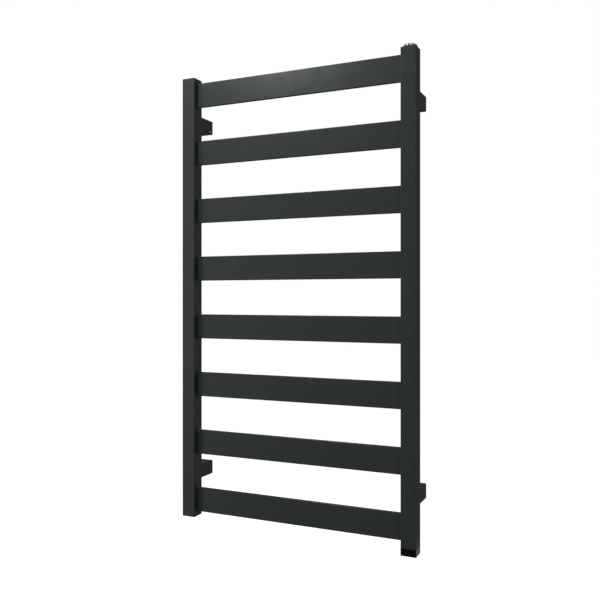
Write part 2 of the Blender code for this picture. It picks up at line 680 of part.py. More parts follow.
def main():
    clear_scene()
    paint = material("anthracite_paint", (0.030, 0.034, 0.033), 0.38)
    steel = material("zinc_plated_steel", (0.50, 0.50, 0.49), 0.35, 1)
    stainless = material("stainless_steel", (0.55, 0.54, 0.52), 0.3, 1)
    chrome = material("chrome", (0.80, 0.80, 0.80), 0.08, 1)
    brass = material("brass", (0.70, 0.53, 0.26), 0.3, 1)
    rubber = material("black_rubber", (0.012, 0.012, 0.012), 0.7)
    black_plastic = material("gloss_black_plastic", (0.004, 0.004, 0.004), 0.1)
    white_plastic = material("white_plastic", (0.82, 0.82, 0.80), 0.4)
    board_green = material("circuit_board_green", (0.02, 0.12, 0.05), 0.5)
    lens_plastic = material("smoked_lens", (0.20, 0.03, 0.02), 0.15)

    build_posts(paint)
    build_rails(paint)
    build_caps(paint)
    build_vent(chrome, rubber, white_plastic, brass)
    build_element(brass, rubber, stainless)
    head_foot = (POST_X, POST_Y, BOTTOM_Z)
    build_head_shell(black_plastic, head_foot)
    build_head_cover(black_plastic, head_foot)
    build_cover_screws(steel, head_foot)
    build_controls(black_plastic, board_green, lens_plastic, head_foot)
    build_cable_gland(rubber, head_foot)
    build_brackets(paint, steel)


main()
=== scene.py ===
"""The looks of a wall-hung electric towel warmer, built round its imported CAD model.

Everything is in metres in the model's own frame: X to the right seen from the front, Y into the wall, Z up.
"""

import math

import bmesh
import bpy
from mathutils import Matrix, Vector


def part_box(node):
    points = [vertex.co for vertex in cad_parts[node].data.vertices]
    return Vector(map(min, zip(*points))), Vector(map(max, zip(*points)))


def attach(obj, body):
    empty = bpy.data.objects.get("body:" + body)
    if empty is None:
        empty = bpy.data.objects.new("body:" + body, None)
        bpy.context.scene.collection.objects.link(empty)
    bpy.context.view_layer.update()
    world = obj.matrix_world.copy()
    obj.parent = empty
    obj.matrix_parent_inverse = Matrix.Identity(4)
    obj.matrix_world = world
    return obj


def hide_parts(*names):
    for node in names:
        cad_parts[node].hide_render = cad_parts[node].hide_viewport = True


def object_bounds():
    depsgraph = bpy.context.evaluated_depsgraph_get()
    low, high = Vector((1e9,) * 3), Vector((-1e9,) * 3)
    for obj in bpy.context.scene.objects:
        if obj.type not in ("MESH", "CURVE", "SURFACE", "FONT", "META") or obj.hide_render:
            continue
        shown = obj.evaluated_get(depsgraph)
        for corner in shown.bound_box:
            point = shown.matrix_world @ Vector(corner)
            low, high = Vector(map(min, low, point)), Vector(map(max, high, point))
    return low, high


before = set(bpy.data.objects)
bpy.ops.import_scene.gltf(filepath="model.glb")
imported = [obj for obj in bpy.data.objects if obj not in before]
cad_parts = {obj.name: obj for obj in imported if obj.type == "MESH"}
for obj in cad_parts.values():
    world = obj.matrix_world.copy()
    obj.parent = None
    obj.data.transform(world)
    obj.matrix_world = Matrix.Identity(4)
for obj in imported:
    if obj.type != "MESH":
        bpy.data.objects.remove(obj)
CAD_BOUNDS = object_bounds()

MM = 0.001

# The studio
CAMERA_PLACE = (0.740, -1.6465, 0.0)
CAMERA_TURN = math.radians(24.69)  # about the vertical, to the left
CAMERA_LENS = 43.55
CAMERA_SHIFT_Y = -0.0042
FLOOR_DROP = 0.8  # below the rack, which hangs on a wall
FLOOR_SIZE = 30
FLOOR_COLOUR = (0.25, 0.25, 0.25, 1)
FLOOR_GLOW = 0.97  # keeps the floor nearly white in any light
WHITE = (1, 1, 1, 1)
LAMPS = [  # (name, place, radius, power, colour, whether it is seen in reflections)
    ("key", (-0.775, -1.354, 1.347), 0.12, 49.5, (0.92, 1.0, 0.87), True),
    ("back", (-1.75, 1.5, 0.0), 0.35, 120, (0.95, 1.0, 0.95), False),
]
CARD_SIZE = 0.06
CARD_DISTANCE = 1.0
CARD_RADIANCE = 0.35
GLOWS = [  # (degrees round from the front toward the left, degrees up, strength)
    (-25, 42, 1.2),
    (52, -3, 0.54),
    (40, 21, 0.14),
    (-118, 4, 0.53),
    (-125, -35, 0.13),
]
GLOW_TIGHTNESS = 14.0
AMBIENT = 0.055

# Facets
CORNER_STEPS = 7  # in a quarter turn of a rounded edge
RIM_STEPS = 3  # in the rounding of a tube's end
ROUND_SIDES = 96
SMALL_ROUND_SIDES = 48

# The ladder
POST_RADIUS = 2 * MM
POST_WALL = 1.5 * MM
POST_RIM = 0.5 * MM
RAIL_RADIUS = 1.5 * MM
RAIL_WALL = 1.2 * MM
RAIL_RIM = 0.2 * MM
SLOT_GAP = 0.15 * MM
WELD_LEG = 1.1 * MM
CAP_GAP = 0.06 * MM
THREAD_HOLE = 10.7 * MM
FIT = 0.3 * MM  # the gap between the CAD model's pieces

# The vent plug
VENT_CROWN_RADIUS = 10.4 * MM
VENT_DOME_RISE = 2.3 * MM
VENT_SCREW_HEAD_DEPTH = 4.4 * MM

# The heating element's head
HEAD_WALL = 2 * MM
COVER_THICKNESS = 2 * MM
BUTTON_RADIUS = 4.7 * MM
LENS_RADIUS = 1.5 * MM
COVER_SCREW_HEAD_RADIUS = 2.2 * MM

RAILS = sorted(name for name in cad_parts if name.startswith("rail_"))
CORNERS = [f"{row}_{side}" for row in ("upper", "lower") for side in ("left", "right")]


# ---------------------------------------------------------------- shapes

def middle(node):
    """The centre of a CAD node's box."""
    low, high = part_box(node)
    return (low + high) / 2


def extent(node):
    """The size of a CAD node's box."""
    low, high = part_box(node)
    return high - low


def square_ring(width, depth, radius, z, inset=0.0):
    """Points round a rounded rectangle at height z, counter-clockwise seen from above."""
    radius = max(radius - inset, 0.1 * MM)
    half_width = width / 2 - inset - radius
    half_depth = depth / 2 - inset - radius
    ring = []
    for corner in range(4):
        centre_x = (1, -1, -1, 1)[corner] * half_width
        centre_y = (1, 1, -1, -1)[corner] * half_depth
        for step in range(CORNER_STEPS + 1):
            angle = math.pi / 2 * (corner + step / CORNER_STEPS)
            ring.append((centre_x + radius * math.cos(angle), centre_y + radius * math.sin(angle), z))
    return ring


def round_ring(radius, z, sides):
    return [(radius * math.cos(a), radius * math.sin(a), z)
            for a in (2 * math.pi * (i + 0.5) / sides for i in range(sides))]


def hole_ring(radius, z):
    """A round ring with as many points as a square one, for a round hole in a square plate."""
    return round_ring(radius, z, 4 * (CORNER_STEPS + 1))


def lofted(rings, closed=False):
    """Quads between rings of equally many points. The end rings are filled, or joined to each other."""
    bm = bmesh.new()
    loops = [[bm.verts.new(point) for point in ring] for ring in rings]
    pairs = list(zip(loops, loops[1:]))
    if closed:
        pairs.append((loops[-1], loops[0]))
    for lower, upper in pairs:
        for i in range(len(lower)):
            bm.faces.new((lower[i - 1], lower[i], upper[i], upper[i - 1]))
    if not closed:
        bm.faces.new(loops[0][::-1])
        bm.faces.new(loops[-1])
    bmesh.ops.recalc_face_normals(bm, faces=bm.faces)
    return bm


def softened(profile, radius, steps=3, closed=False):
    """The (r, z) profile with each of its corners rounded off, save the two ends of an open one."""
    soft = []
    count = len(profile)
    for i, point in enumerate(profile):
        if not closed and i in (0, count - 1):
            soft.append(tuple(point))
            continue
        corner = Vector(point)
        before = Vector(profile[i - 1]) - corner
        after = Vector(profile[(i + 1) % count]) - corner
        reach = min(radius, before.length * 0.45, after.length * 0.45)
        start = corner + before.normalized() * reach
        end = corner + after.normalized() * reach
        for step in range(steps + 1):
            t = step / steps
            soft.append(tuple(start * (1 - t) ** 2 + corner * 2 * t * (1 - t) + end * t * t))
    return soft


def turned(profile, sides=ROUND_SIDES, closed=False):
    """The (r, z) profile spun round Z. A closed profile makes a ring, an open one starts and ends on Z."""
    bm = bmesh.new()
    verts = [bm.verts.new((r, 0, z)) for r, z in profile]
    first = 0 if closed else 1
    edges = [bm.edges.new((verts[i - 1], verts[i])) for i in range(first, len(verts))]
    bmesh.ops.spin(bm, geom=verts + edges, cent=(0, 0, 0), axis=(0, 0, 1), angle=2 * math.pi, steps=sides)
    bmesh.ops.remove_doubles(bm, verts=bm.verts, dist=0.001 * MM)
    bmesh.ops.recalc_face_normals(bm, faces=bm.faces)
    return bm


def drum(radius, bottom, top, sides=SMALL_ROUND_SIDES):
    return lofted([round_ring(radius, bottom, sides), round_ring(radius, top, sides)])


def block(width, depth, bottom, top, radius=0.3 * MM):
    return lofted([square_ring(width, depth, radius, bottom), square_ring(width, depth, radius, top)])


def rim(edge, start, end):
    """(inset, height) steps that round off the rim at the end of a bar that runs from start to end."""
    direction = 1 if end > start else -1
    angles = [math.pi / 2 * i / RIM_STEPS for i in range(RIM_STEPS + 1)]
    return [(edge * (1 - math.cos(a)), end - direction * edge * (1 - math.sin(a))) for a in angles]


def tube(width, depth, radius, wall, bottom, top, edge):
    """A square tube along Z whose two outer rims are rounded off."""
    outside = rim(edge, top, bottom)[::-1] + rim(edge, bottom, top)
    rings = [square_ring(width, depth, radius, z, inset) for inset, z in outside]
    rings += [square_ring(width, depth, radius, top, wall), square_ring(width, depth, radius, bottom, wall)]
    return lofted(rings, closed=True)


def bar(width, depth, radius, bottom, top, edge):
    """A solid square bar along Z whose rims are rounded off."""
    outside = rim(edge, top, bottom)[::-1] + rim(edge, bottom, top)
    return lofted([square_ring(width, depth, radius, z, inset) for inset, z in outside])


def moved(bm, *steps):
    """Moves and turns a shape, by the last step first."""
    matrix = Matrix.Identity(4)
    for step in steps:
        matrix = matrix @ (step if isinstance(step, Matrix) else Matrix.Translation(step))
    bmesh.ops.transform(bm, matrix=matrix, verts=bm.verts)
    return bm


def turn(degrees, axis):
    return Matrix.Rotation(math.radians(degrees), 4, axis)


ALONG_X = turn(90, "Z") @ turn(90, "X")  # +Z goes to +X
ALONG_Y = turn(-90, "X")  # +Z goes to +Y


def cut(bm, *cutters):
    """The shape less the cutters."""
    objects = []
    for shape in (bm, *cutters):
        mesh = bpy.data.meshes.new("cut")
        shape.to_mesh(mesh)
        shape.free()
        obj = bpy.data.objects.new("cut", mesh)
        bpy.context.scene.collection.objects.link(obj)
        objects.append(obj)
    for tool in objects[1:]:
        modifier = objects[0].modifiers.new("cut", "BOOLEAN")
        modifier.operation = "DIFFERENCE"
        modifier.object = tool
    bpy.context.view_layer.update()
    evaluated = objects[0].evaluated_get(bpy.context.evaluated_depsgraph_get())
    result = bmesh.new()
    result.from_mesh(evaluated.to_mesh())
    evaluated.to_mesh_clear()
    for obj in objects:
        bpy.data.objects.remove(obj)
    return result


def piece(name, bm, look, nodes, body="rack", sharp=35):
    """A finished piece that stands for the CAD nodes and rides on a body."""
    mesh = bpy.data.meshes.new(name)
    bm.to_mesh(mesh)
    bm.free()
    mesh.materials.append(look)
    mesh.shade_smooth()
    mesh.set_sharp_from_angle(angle=math.radians(sharp))
    obj = bpy.data.objects.new(name, mesh)
    bpy.context.scene.collection.objects.link(obj)
    shading = obj.modifiers.new("flat faces stay flat", "WEIGHTED_NORMAL")
    shading.keep_sharp = True
    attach(obj, body)
    if nodes:
        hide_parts(*nodes)
    return obj


# ---------------------------------------------------------------- materials

class Look:
    """A Principled material and the nodes that feed it, all in the object's own coordinates."""

    def __init__(self, name, colour, roughness, metallic=0.0, **sockets):
        self.material = bpy.data.materials.new(name)
        self.material.use_nodes = True
        self.tree = self.material.node_tree
        self.shader = self.tree.nodes["Principled BSDF"]
        self.place = self.node("ShaderNodeTexCoord").outputs["Object"]
        self.height = None
        self.set("Base Color", (*colour, 1))
        self.set("Roughness", roughness)
        self.set("Metallic", metallic)
        for socket, value in sockets.items():
            self.set(socket.replace("_", " "), value)

    def set(self, socket, value):
        self.shader.inputs[socket].default_value = value

    def node(self, kind, **values):
        """A node whose attributes or inputs take the values. A socket as a value is linked."""
        made = self.tree.nodes.new(kind)
        for key, value in values.items():
            if hasattr(made, key):
                setattr(made, key, value)
                continue
            target = made.inputs[key.replace("_", " ")]
            if isinstance(value, bpy.types.NodeSocket):
                self.tree.links.new(value, target)
            else:
                target.default_value = value
        return made

    def stretched(self, x, y, z):
        """The coordinates scaled along each axis, which draws a pattern out along the smallest."""
        return self.node("ShaderNodeMapping", Vector=self.place, Scale=(x, y, z)).outputs["Vector"]

    def noise(self, scale, detail=2.0, place=None, distortion=0.0):
        made = self.node("ShaderNodeTexNoise", Vector=place or self.place, Scale=scale, Detail=detail,
                         Distortion=distortion)
        return made.outputs["Fac"]

    def cells(self, scale, output="Color", place=None):
        made = self.node("ShaderNodeTexVoronoi", Vector=place or self.place, Scale=scale)
        return made.outputs[output]

    def spread(self, factor, low, high, start=0.3, end=0.7):
        """The factor from start to end as a value from low to high."""
        made = self.node("ShaderNodeMapRange", Value=factor, From_Min=start, From_Max=end,
                         To_Min=low, To_Max=high)
        return made.outputs["Result"]

    def edges(self, width):
        """1 along edges and corners within the width, and 0 on flats."""
        bevel = self.node("ShaderNodeBevel", samples=6, Radius=width)
        flat = self.node("ShaderNodeNewGeometry").outputs["True Normal"]
        dot = self.node("ShaderNodeVectorMath", operation="DOT_PRODUCT")
        self.tree.links.new(bevel.outputs["Normal"], dot.inputs[0])
        self.tree.links.new(flat, dot.inputs[1])
        return self.spread(dot.outputs["Value"], 1, 0, 0.80, 0.995)

    def mix(self, factor, first, second):
        """Two colours mixed. Each is a tuple or a socket."""
        made = self.node("ShaderNodeMix", data_type="RGBA")
        self.tree.links.new(factor, made.inputs[0])
        for socket, colour in ((made.inputs[6], first), (made.inputs[7], second)):
            if isinstance(colour, bpy.types.NodeSocket):
                self.tree.links.new(colour, socket)
            else:
                socket.default_value = (*colour, 1)
        return made.outputs[2]

    def link(self, socket, value):
        self.tree.links.new(value, self.shader.inputs[socket])

    def bump(self, height, distance, strength=1.0):
        """Adds relief of that depth to what is there already."""
        made = self.node("ShaderNodeBump", Height=height, Distance=distance, Strength=strength)
        if self.height:
            self.tree.links.new(self.height, made.inputs["Normal"])
        self.height = made.outputs["Normal"]
        self.link("Normal", self.height)


def shades(colour, factor):
    return tuple(min(c * factor, 1) for c in colour)


def powder_coat():
    """Satin anthracite paint: a soft orange-peel skin, a fine grain, and a painted highlight that makes
    every edge lighter in colour.
    """
    colour = (0.0520, 0.0612, 0.0608)
    look = Look("satin_powder_coat", colour, 0.24, Specular_IOR_Level=0.5)
    drift = look.noise(5, 3)
    speckle = look.noise(1800, 2)
    base = look.mix(look.spread(drift, 0, 1), shades(colour, 0.93), shades(colour, 1.07))
    base = look.mix(look.spread(speckle, 0, 1, 0.25, 0.75), base, shades(colour, 1.22))
    # Painted highlight: the base colour is made half again lighter along every edge, in place of the sheen
    # the edges would catch.
    look.link("Base Color", look.mix(look.edges(0.7 * MM), base, shades(colour, 1.5)))
    look.link("Roughness", look.spread(look.noise(38, 4), 0.22, 0.26))
    look.bump(look.noise(300, 1.5), 0.006 * MM)
    look.bump(speckle, 0.003 * MM)
    return look.material


def gloss_black():
    """Moulded gloss-black plastic with a faint flow ripple and the haze of handling."""
    look = Look("gloss_black_plastic", (0.0035, 0.0035, 0.0037), 0.09, Specular_IOR_Level=0.5)
    look.link("Roughness", look.spread(look.noise(55, 5, distortion=0.6), 0.06, 0.16))
    look.bump(look.noise(120, 1), 0.006 * MM)
    return look.material


def chrome():
    """Polished chrome plate over a turned body, with hairlines left by cleaning."""
    look = Look("polished_chrome", (0.80, 0.81, 0.82), 0.07, metallic=1.0)
    hairs = look.noise(90, 6, look.stretched(1, 1, 14), distortion=0.3)
    look.link("Roughness", look.spread(hairs, 0.045, 0.14))
    look.bump(look.noise(260, 2, look.stretched(1, 1, 9)), 0.0015 * MM)
    return look.material


def zinc():
    """Bright zinc plate: cells of slightly different tone, dulled in patches."""
    look = Look("zinc_plate", (0.52, 0.53, 0.53), 0.34, metallic=1.0)
    cells = look.node("ShaderNodeSeparateColor", Color=look.cells(420)).outputs["Red"]
    look.link("Base Color", look.mix(cells, (0.44, 0.45, 0.46), (0.60, 0.60, 0.58)))
    look.link("Roughness", look.spread(look.noise(140, 4), 0.26, 0.48))
    look.bump(look.noise(900, 2), 0.006 * MM)
    return look.material


def brass():
    """Turned brass with fine tool rings and a little tarnish."""
    look = Look("turned_brass", (0.62, 0.44, 0.19), 0.28, metallic=1.0)
    tarnish = look.spread(look.noise(160, 4), 0, 1)
    look.link("Base Color", look.mix(tarnish, (0.66, 0.48, 0.22), (0.46, 0.31, 0.13)))
    rings = look.noise(60, 2, look.stretched(1, 1, 60))
    look.link("Roughness", look.spread(rings, 0.2, 0.42))
    look.bump(rings, 0.004 * MM)
    return look.material


def stainless():
    """Drawn stainless tube, with die lines along it and a heat tint in patches."""
    look = Look("drawn_stainless", (0.55, 0.54, 0.52), 0.3, metallic=1.0)
    lines = look.noise(900, 2, look.stretched(1, 1, 0.01))
    tint = look.spread(look.noise(18, 2), 0, 1)
    look.link("Base Color", look.mix(tint, (0.58, 0.57, 0.55), (0.50, 0.45, 0.37)))
    look.link("Roughness", look.spread(lines, 0.2, 0.42))
    look.bump(lines, 0.003 * MM)
    return look.material


def rubber():
    """Black moulded rubber, matt, with a fine bloom."""
    look = Look("black_rubber", (0.014, 0.014, 0.014), 0.75)
    bloom = look.spread(look.noise(240, 4), 0, 1)
    look.link("Base Color", look.mix(bloom, (0.011, 0.011, 0.011), (0.022, 0.022, 0.023)))
    look.link("Roughness", look.spread(look.noise(500, 3), 0.62, 0.86))
    look.bump(look.noise(1500, 2), 0.012 * MM)
    return look.material


def white_plastic():
    """Natural white moulded plastic, slightly warm and waxy."""
    look = Look("white_moulded_plastic", (0.80, 0.80, 0.77), 0.38,
                Subsurface_Weight=0.1, Subsurface_Scale=0.001)
    clouds = look.spread(look.noise(200, 3), 0, 1)
    look.link("Base Color", look.mix(clouds, (0.82, 0.82, 0.79), (0.75, 0.74, 0.71)))
    look.link("Roughness", look.spread(look.noise(600, 3), 0.3, 0.5))
    look.bump(look.noise(1400, 2), 0.008 * MM)
    return look.material


def smoked_red():
    """Tinted clear plastic over a small lamp."""
    look = Look("smoked_red_plastic", (0.12, 0.012, 0.010), 0.12, Transmission_Weight=0.25, IOR=1.49)
    depth = look.node("ShaderNodeLayerWeight", Blend=0.4).outputs["Facing"]
    look.link("Base Color", look.mix(depth, (0.20, 0.018, 0.014), (0.05, 0.006, 0.005)))
    look.link("Roughness", look.spread(look.noise(700, 2), 0.08, 0.2))
    return look.material


def circuit_board():
    """Green solder mask over laminate, with copper tracks under it and rows of tinned pads."""
    look = Look("circuit_board", (0.02, 0.11, 0.045), 0.42)
    tracks = look.node("ShaderNodeTexBrick", Vector=look.place, Scale=280.0, Mortar_Size=0.06,
                       Color1=(0.016, 0.095, 0.038, 1), Color2=(0.020, 0.115, 0.048, 1),
                       Mortar=(0.045, 0.20, 0.085, 1)).outputs["Color"]
    pads = look.spread(look.cells(330, "Distance"), 1, 0, 0.20, 0.24)
    look.link("Base Color", look.mix(pads, tracks, (0.62, 0.62, 0.58)))
    look.link("Metallic", pads)
    look.bump(look.noise(1200, 2), 0.01 * MM)
    return look.material


def dull_black():
    """Black moulded component cases with the grain of a sparked mould."""
    look = Look("component_case", (0.010, 0.010, 0.011), 0.5)
    look.link("Roughness", look.spread(look.noise(900, 3), 0.42, 0.62))
    look.bump(look.cells(1700, "Distance"), 0.01 * MM)
    return look.material


PAINT = powder_coat()
GLOSS = gloss_black()
CHROME = chrome()
ZINC = zinc()
BRASS = brass()
STAINLESS = stainless()
RUBBER = rubber()
WHITE_PLASTIC = white_plastic()
RED_LENS = smoked_red()
BOARD = circuit_board()
CASE = dull_black()


# ---------------------------------------------------------------- the ladder

def post(side):
    """A square tube with a slot for each rail in its inner wall."""
    node = f"{side}_post"
    centre = middle(node)
    size = extent(node)
    inner_side = 1 if side == "left" else -1
    rail_size = extent(RAILS[0])
    shape = tube(size.x, size.y, POST_RADIUS, POST_WALL, -size.z / 2, size.z / 2, POST_RIM)
    slots = []
    for rail in RAILS:
        slot = block(rail_size.y + 2 * SLOT_GAP, rail_size.z + 2 * SLOT_GAP, -POST_WALL, POST_WALL,
                     RAIL_RADIUS)
        reach = inner_side * (size.x - POST_WALL) / 2
        place = middle(rail)
        slots.append(moved(slot, (reach, place.y - centre.y, place.z - centre.z), ALONG_X))
    piece(node + "_tube", moved(cut(shape, *slots), centre), PAINT, [node])


def rail(node):
    """A flat tube between the posts, with a smooth painted weld where it enters each of them."""
    size = extent(node)
    centre = middle(node)
    half = size.x / 2
    shape = tube(size.y, size.z, RAIL_RADIUS, RAIL_WALL, -half, half, RAIL_RIM)
    piece(node + "_tube", moved(shape, centre, ALONG_X), PAINT, [node])
    for side, facing in (("left", turn(0, "X")), ("right", turn(180, "X"))):
        low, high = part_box(f"{side}_post")
        face = high.x if side == "left" else low.x
        root = 0.15 * MM
        section = [(-root, WELD_LEG), (-root, -root), (WELD_LEG, -root)]
        for i in range(CORNER_STEPS + 1):
            angle = math.pi / 2 * (1 - i / CORNER_STEPS)
            section.append((WELD_LEG * (1 - math.cos(angle)), WELD_LEG * (1 - math.sin(angle))))
        rings = [square_ring(size.y, size.z, RAIL_RADIUS, out, -grow) for grow, out in section]
        weld = moved(lofted(rings, closed=True), (face, centre.y, centre.z), ALONG_X, facing)
        piece(f"{node}_weld_{side}", weld, PAINT, [])


def end_plate(node, drilled):
    """The plate that closes a post's end, ground flush with its rim."""
    size = extent(node)
    centre = middle(node)
    width = size.x + 2 * (0.3 * MM - CAP_GAP)
    radius = 0.5 * MM
    edge = 0.2 * MM
    outside = rim(edge, size.z, 0)[::-1] + rim(edge, 0, size.z)
    rings = [square_ring(width, width, radius, z - size.z / 2, inset) for inset, z in outside]
    if drilled:
        rings += [hole_ring(THREAD_HOLE, size.z / 2), hole_ring(THREAD_HOLE, -size.z / 2)]
    piece(node + "_plate", moved(lofted(rings, closed=drilled), centre), PAINT, [node])


def build_ladder():
    for side in ("left", "right"):
        post(side)
        for end in ("top", "bottom"):
            end_plate(f"{side}_{end}_cap", drilled=side == "right")
    for node in RAILS:
        rail(node)


# ---------------------------------------------------------------- the vent plug

def build_vent():
    low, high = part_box("vent_body")
    seal_low, seal_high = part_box("vent_seal")
    nozzle_low, nozzle_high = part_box("vent_nozzle")
    screw_low, screw_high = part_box("vent_screw")
    centre = middle("vent_body")
    foot = (centre.x, centre.y, 0)
    radius = (high.x - low.x) / 2
    shoulder = high.z - VENT_DOME_RISE
    base = seal_high.z + FIT
    nozzle_radius = (nozzle_high.x - nozzle_low.x) / 2
    seat = nozzle_radius + FIT
    bore = 3.3 * MM
    shank_bore = 2.5 * MM
    thread = 10.4 * MM
    dome_steps = 12

    section = [(thread, low.z), (thread, base), (radius - 0.5 * MM, base), (radius, base + 0.5 * MM)]
    for i in range(dome_steps + 1):
        angle = math.pi / 2 * i / dome_steps
        section.append((VENT_CROWN_RADIUS + (radius - VENT_CROWN_RADIUS) * math.cos(angle),
                        shoulder + (high.z - shoulder) * math.sin(angle)))
    section += [
        (seat + 0.3 * MM, high.z),
        (seat, high.z - 0.3 * MM),
        (seat, nozzle_low.z - FIT),
        (bore, nozzle_low.z - FIT),
        (bore, high.z - VENT_SCREW_HEAD_DEPTH),
        (shank_bore, high.z - VENT_SCREW_HEAD_DEPTH),
        (shank_bore, screw_low.z - FIT),
        (1 * MM, screw_low.z - FIT),
        (1 * MM, low.z),
    ]
    piece("vent_dome", moved(turned(section, closed=True), foot), CHROME, ["vent_body"])

    seal_radius = (seal_high.x - seal_low.x) / 2
    section = [(THREAD_HOLE, seal_low.z), (seal_radius, seal_low.z), (seal_radius, seal_high.z),
               (THREAD_HOLE, seal_high.z)]
    seal = turned(softened(section, 0.4 * MM, closed=True), closed=True)
    piece("vent_seal_ring", moved(seal, foot), RUBBER, ["vent_seal"])

    section = [(bore, nozzle_low.z), (nozzle_radius, nozzle_low.z), (nozzle_radius, nozzle_high.z),
               (bore, nozzle_high.z)]
    ring = turned(softened(section, 0.35 * MM, closed=True), closed=True)
    groove = block(nozzle_radius, 1.5 * MM, nozzle_high.z - 1 * MM, nozzle_high.z + 1 * MM)
    ring = cut(ring, moved(groove, turn(250, "Z"), (nozzle_radius, 0, 0)))
    piece("vent_nozzle_ring", moved(ring, foot), WHITE_PLASTIC, ["vent_nozzle"], "vent_nozzle")

    head = 3 * MM
    shank = 2.2 * MM
    needle = 1.3 * MM
    head_low = screw_high.z - VENT_SCREW_HEAD_DEPTH
    section = [(0, screw_low.z), (shank, screw_low.z + needle), (shank, head_low), (head, head_low),
               (head, screw_high.z), (0, screw_high.z)]
    screw = turned(softened(section, 0.3 * MM), SMALL_ROUND_SIDES)
    slot = block(3 * head, 1 * MM, screw_high.z - 1.3 * MM, screw_high.z + 1 * MM, 0.1 * MM)
    piece("vent_bleed_screw", moved(cut(screw, slot), foot), BRASS, ["vent_screw"], "vent_screw")


# ---------------------------------------------------------------- the heating element's head

def build_head_housing(foot):
    """The square cup under the post, open below, with a hole for the mains lead in its back."""
    low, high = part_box("head_shell")
    width = high.x - low.x
    radius = 1.6 * MM
    roof = 1.6 * MM
    gasket_hole = 12.8 * MM
    outside = rim(0.25 * MM, low.z, high.z)[::-1] + rim(0.7 * MM, high.z, low.z)
    rings = [hole_ring(gasket_hole, high.z)]
    rings += [square_ring(width, width, radius, z, inset) for inset, z in outside]
    rings += [
        square_ring(width, width, radius + HEAD_WALL, low.z, HEAD_WALL),
        square_ring(width, width, radius + HEAD_WALL, high.z - roof, HEAD_WALL),
        hole_ring(gasket_hole, high.z - roof),
    ]
    shell = lofted(rings, closed=True)
    gland_low, gland_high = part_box("cable_gland")
    hole = moved(drum(4.5 * MM, 0, width), (0, 0, (gland_low.z + gland_high.z) / 2), ALONG_Y)
    piece("head_housing", moved(cut(shell, hole), foot), GLOSS, ["head_shell"])


def build_head_cover(foot):
    """The plate that closes the head from below, with holes for the button, the light and two screws."""
    low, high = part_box("head_cover")
    size = high.x - low.x + FIT
    plate = bar(size, size, 0.6 * MM, low.z, low.z + COVER_THICKNESS, 0.25 * MM)
    button_hole = turned([
        (0, -COVER_THICKNESS),
        (BUTTON_RADIUS + 0.9 * MM, -COVER_THICKNESS),
        (BUTTON_RADIUS + FIT, 0.3 * MM),
        (BUTTON_RADIUS + FIT, 2 * COVER_THICKNESS),
        (0, 2 * COVER_THICKNESS),
    ])
    lens_centre = middle("head_light_lens")
    lens_hole = drum(LENS_RADIUS + 0.2 * MM, -COVER_THICKNESS, 2 * COVER_THICKNESS)
    cutters = [
        moved(button_hole, (0, 0, low.z)),
        moved(lens_hole, (lens_centre.x - foot[0], lens_centre.y - foot[1], low.z)),
    ]
    for number in (1, 2):
        screw_centre = middle(f"head_cover_screw_{number}")
        recess = turned([
            (0, -COVER_THICKNESS),
            (COVER_SCREW_HEAD_RADIUS + FIT, -COVER_THICKNESS),
            (COVER_SCREW_HEAD_RADIUS + FIT, 1.5 * MM),
            (1.55 * MM, 1.5 * MM),
            (1.55 * MM, 2 * COVER_THICKNESS),
            (0, 2 * COVER_THICKNESS),
        ], SMALL_ROUND_SIDES)
        cutters.append(moved(recess, (screw_centre.x - foot[0], screw_centre.y - foot[1], low.z)))
    piece("head_bottom_cover", moved(cut(plate, *cutters), foot), GLOSS, ["head_cover"])


def build_head_button(foot):
    """The push button, slightly dished, with its flange and its stem."""
    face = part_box("head_button")[0].z
    stem_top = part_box("head_button")[1].z
    flange_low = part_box("head_cover")[0].z + COVER_THICKNESS + FIT
    flange_high = flange_low + 0.6 * MM
    flange = 5.5 * MM
    stem = 1.6 * MM
    section = [
        (0, face + 0.35 * MM),
        (BUTTON_RADIUS - 1.4 * MM, face + 0.12 * MM),
        (BUTTON_RADIUS - 0.5 * MM, face),
        (BUTTON_RADIUS, face + 0.4 * MM),
        (BUTTON_RADIUS, flange_low),
        (flange, flange_low),
        (flange, flange_high),
        (stem, flange_high),
        (stem, stem_top),
        (0, stem_top),
    ]
    button = turned(softened(section, 0.25 * MM))
    piece("head_push_button", moved(button, foot), GLOSS, ["head_button"], "head_button")


def build_head_lens():
    low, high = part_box("head_light_lens")
    centre = middle("head_light_lens")
    flange = LENS_RADIUS + 0.6 * MM
    section = [
        (0, low.z),
        (LENS_RADIUS - 0.5 * MM, low.z + 0.05 * MM),
        (LENS_RADIUS, low.z + 0.5 * MM),
        (LENS_RADIUS, high.z - 0.6 * MM),
        (flange, high.z - 0.6 * MM),
        (flange, high.z),
        (0, high.z),
    ]
    lens = turned(softened(section, 0.15 * MM), SMALL_ROUND_SIDES)
    piece("head_lamp_lens", moved(lens, (centre.x, centre.y, 0)), RED_LENS, ["head_light_lens"])


def build_cover_screw(number):
    """A small cross-slotted screw."""
    node = f"head_cover_screw_{number}"
    low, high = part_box(node)
    centre = middle(node)
    head = COVER_SCREW_HEAD_RADIUS
    shank = 1.25 * MM
    section = [
        (0, low.z + 0.05 * MM),
        (head * 0.6, low.z + 0.12 * MM),
        (head, low.z + 0.5 * MM),
        (head, low.z + 1.2 * MM),
        (shank, low.z + 1.2 * MM),
        (shank, high.z),
        (0, high.z),
    ]
    screw = turned(softened(section, 0.2 * MM), SMALL_ROUND_SIDES)
    arms = [block(width, depth, low.z - MM, low.z + 0.9 * MM, 0.1 * MM)
            for width, depth in ((2.4 * MM, 0.5 * MM), (0.5 * MM, 2.4 * MM))]
    piece(f"head_screw_{number}", moved(cut(screw, *arms), (centre.x, centre.y, 0)), ZINC, [node])


def build_head():
    centre = middle("head_shell")
    foot = (centre.x, centre.y, 0)
    build_head_housing(foot)
    build_head_cover(foot)
    build_head_button(foot)
    build_head_lens()
    for number in (1, 2):
        build_cover_screw(number)
    build_gland()


